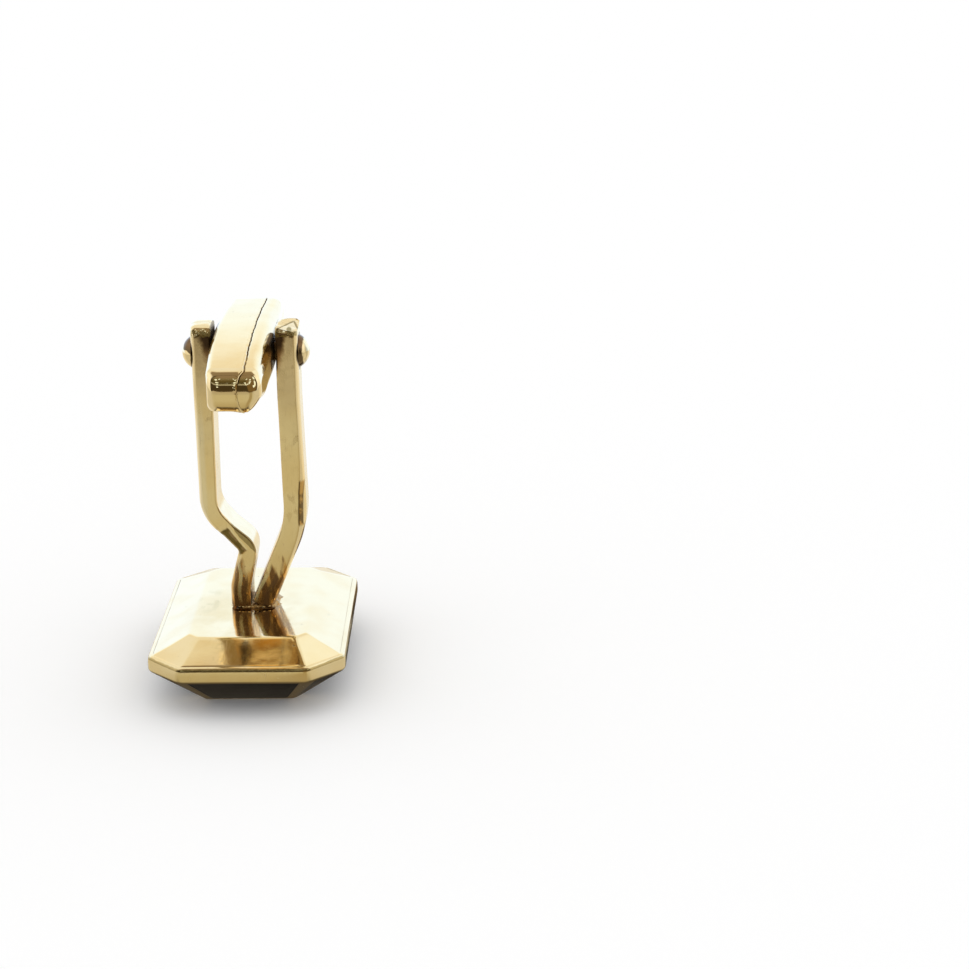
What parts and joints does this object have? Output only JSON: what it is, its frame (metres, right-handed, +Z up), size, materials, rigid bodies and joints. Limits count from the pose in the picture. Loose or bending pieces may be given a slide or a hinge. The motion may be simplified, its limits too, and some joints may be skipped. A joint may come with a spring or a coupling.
{
  "type": "cufflink",
  "caption": "Hinged-toggle cufflink: faceted cut-corner face with onyx inlays, domed back plate, forked gold legs and a hollow rounded toggle that turns on a rivet.",
  "frame": {"origin": "middle of the flat table of the face, on which the cufflink stands face down", "axes": "+X across the width of the face, from the wavy leg to the straight leg and along the rivet; +Y along the length of the face and of the toggle; +Z up from the table through the back plate and the legs to the toggle"},
  "size_m": [0.012, 0.0176, 0.0224],
  "materials": {
    "gold": "polished",
    "onyx": "polished",
    "spring_steel": "satin"
  },
  "bodies": {
    "cufflink": {"face_frame": "gold", "onyx_table": "onyx", "onyx_front": "onyx", "onyx_rear": "onyx", "onyx_left": "onyx", "onyx_right": "onyx", "onyx_corner_front_left": "onyx", "onyx_corner_front_right": "onyx", "onyx_corner_rear_left": "onyx", "onyx_corner_rear_right": "onyx", "back_plate": "gold", "foot_pad": "gold", "leg_straight": "gold", "leg_wavy": "gold", "pivot_rivet": "gold"},
    "toggle": {"toggle_shell": "gold", "toggle_cover": "gold", "spring_upper": "spring_steel", "spring_lower": "spring_steel"}
  },
  "joints": [
    {"name": "toggle_hinge", "type": "hinge", "parent": "cufflink", "child": "toggle", "pos_m": [0, 0, 0.02049], "axis": [1, 0, 0], "range_deg": [-93.5, 86.5], "deforming": ["spring_upper", "spring_lower"]}
  ]
}
